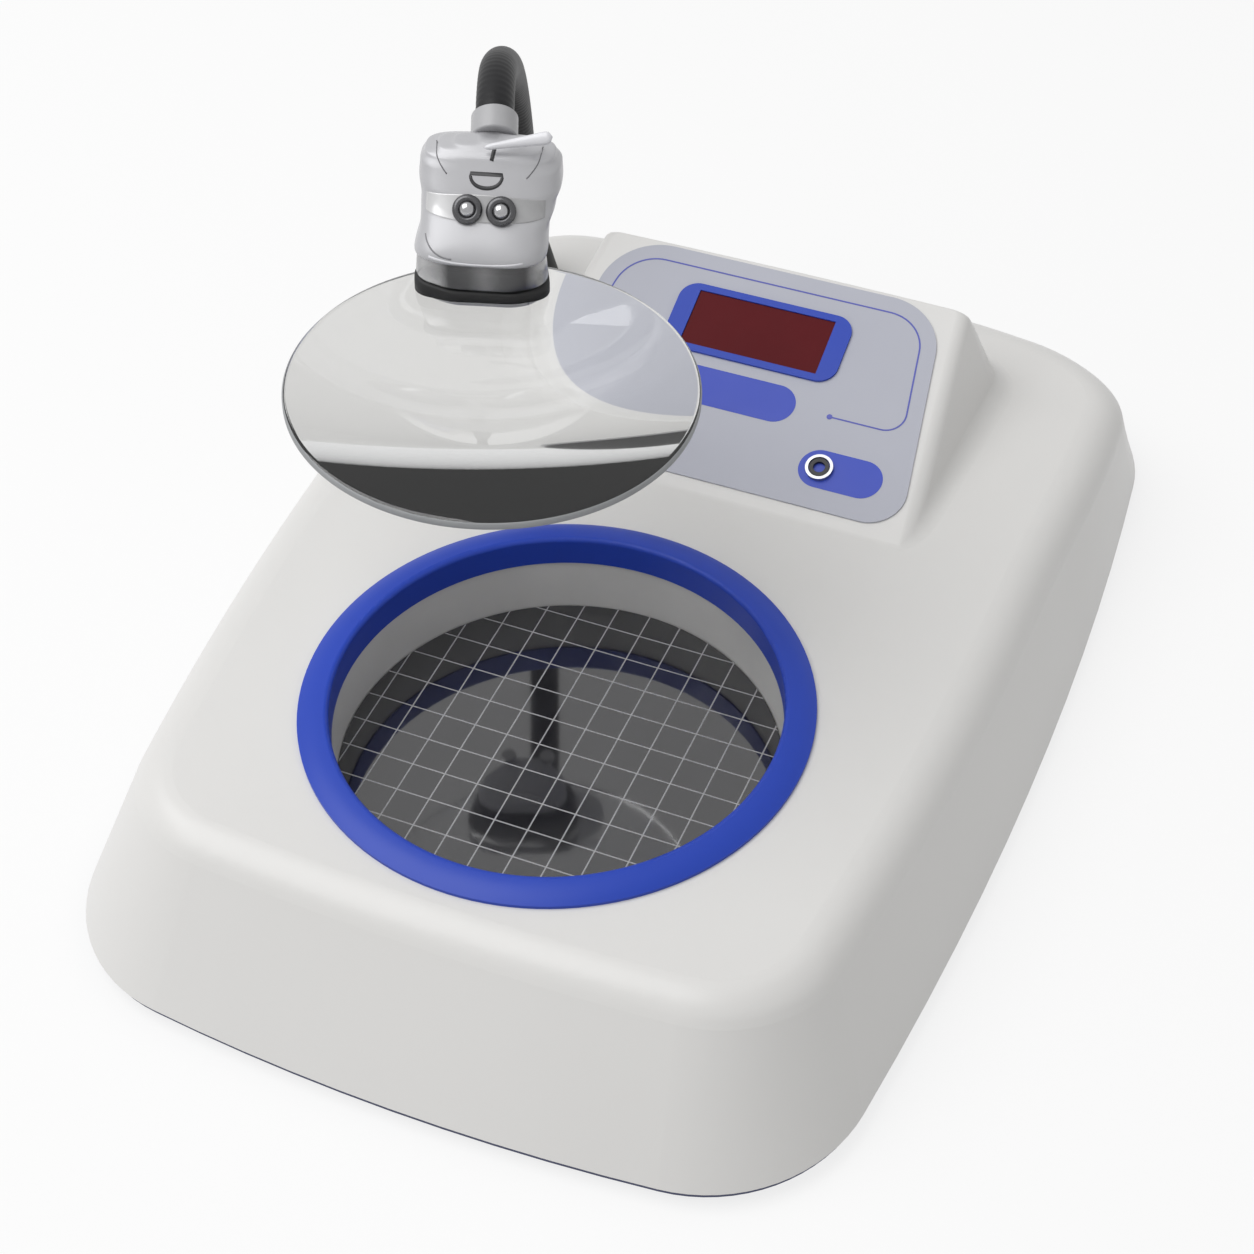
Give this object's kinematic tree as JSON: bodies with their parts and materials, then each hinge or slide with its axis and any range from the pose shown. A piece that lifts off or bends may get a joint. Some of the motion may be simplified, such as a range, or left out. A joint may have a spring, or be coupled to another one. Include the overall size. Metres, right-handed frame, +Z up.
{
  "type": "digital colony counter",
  "caption": "Benchtop colony counter with an illuminated gridded dish well, a sloping display console and a lens on a flexible neck.",
  "frame": {"origin": "centre of the footprint, on the surface that the rubber feet stand on", "axes": "+Z up, -Y towards the front edge, +X to the right of someone facing the console"},
  "size_m": [0.246, 0.3462, 0.1794],
  "materials": {
    "housing_white": "satin moulded",
    "tray_dark": "powder coat",
    "steel": "plated",
    "rubber_black": "matt",
    "bezel_blue": "semi-gloss",
    "liner_grey": "satin",
    "plate_glass": "dark backed glass",
    "bowl_white": "matt",
    "overlay_grey": "printed film",
    "window_red": "red filter",
    "board_green": "board",
    "chip_black": "moulded",
    "lamp_white": "lamp",
    "brass": "plated",
    "plastic_black": "moulded",
    "plastic_grey": "moulded",
    "head_silver": "silver paint",
    "band_chrome": "bright",
    "lens_clear": "clear",
    "copper": "wound coil",
    "button_blue": "moulded"
  },
  "bodies": {
    "counter": {"top_housing": "housing_white", "base_tray": "tray_dark", "tray_screws": "steel", "rubber_feet": "rubber_black", "bezel_ring": "bezel_blue", "well_liner": "liner_grey", "grid_plate": "plate_glass", "lamp_bowl": "bowl_white", "lamp_ring": "board_green", "ring_lamps": "lamp_white", "rear_panel": "plastic_black", "panel_overlay": "overlay_grey", "display_frame": "bezel_blue", "display_window": "window_red", "display_module": "chip_black", "display_board": "board_green", "display_posts": "brass", "probe_jack": "plastic_black", "jack_nut": "steel", "reset_switch": "chip_black", "power_inlet": "plastic_black", "inlet_pins": "brass", "inlet_screws": "steel", "power_switch": "plastic_black", "fuse_holder": "plastic_black", "main_board": "board_green", "board_chips": "chip_black", "board_screws": "steel", "transformer_core": "steel", "transformer_coil": "copper", "neck_socket": "steel", "socket_nut": "steel"},
    "reset_key": {"reset_button": "button_blue"},
    "rocker": {"power_rocker": "plastic_black"},
    "fuse": {"fuse_cap": "plastic_black"},
    "neck_stem": {"neck_lower": "rubber_black", "neck_boot": "rubber_black", "neck_spigot": "steel", "spigot_clip": "steel", "neck_flex": "rubber_black"},
    "neck_reach": {"neck_upper": "rubber_black", "neck_collar": "plastic_grey"},
    "magnifier": {"lens": "lens_clear", "clamp_jaw": "head_silver", "clamp_pad_upper": "rubber_black", "clamp_pad_lower": "rubber_black", "head_band": "band_chrome", "clamp_screws": "steel", "switch_panel": "head_silver", "head_shell": "head_silver", "lamp_bezels": "band_chrome", "lamp_bulbs": "lamp_white"},
    "lever": {"lamp_lever": "plastic_grey"}
  },
  "joints": [
    {"name": "neck_swivel", "type": "hinge", "parent": "counter", "child": "neck_stem", "pos_m": [-0.0865, 0.1085, 0.045], "axis": [0, 0, 1], "range_deg": [-40, 45]},
    {"name": "neck_bend", "type": "hinge", "parent": "neck_stem", "child": "neck_reach", "pos_m": [-0.07443, 0.07949, 0.16303], "axis": [-0.9232, -0.3843, 0], "range_deg": [-25, 10], "deforming": ["neck_flex"]},
    {"name": "head_turn", "type": "hinge", "parent": "neck_reach", "child": "magnifier", "pos_m": [-0.05091, 0.02301, 0.17], "axis": [0.3611, -0.8675, -0.342], "range_deg": [-20, 20]},
    {"name": "lever_swing", "type": "hinge", "parent": "magnifier", "child": "lever", "pos_m": [-0.0448, 0.00664, 0.1693], "axis": [0.2672, -0.704, 0.6581], "range_deg": [-10, 50]},
    {"name": "reset_press", "type": "slide", "parent": "counter", "child": "reset_key", "axis": [0, -1, 0], "range_m": [0, 0.001], "stiffness_N_per_m": 400},
    {"name": "rocker_tilt", "type": "hinge", "parent": "counter", "child": "rocker", "pos_m": [-0.008, 0.1454, 0.02], "axis": [1, 0, 0], "range_deg": [0, 14]},
    {"name": "fuse_twist", "type": "hinge", "parent": "counter", "child": "fuse", "pos_m": [-0.038, 0.1524, 0.02], "axis": [0, 1, 0], "range_deg": [0, 60]}
  ]
}
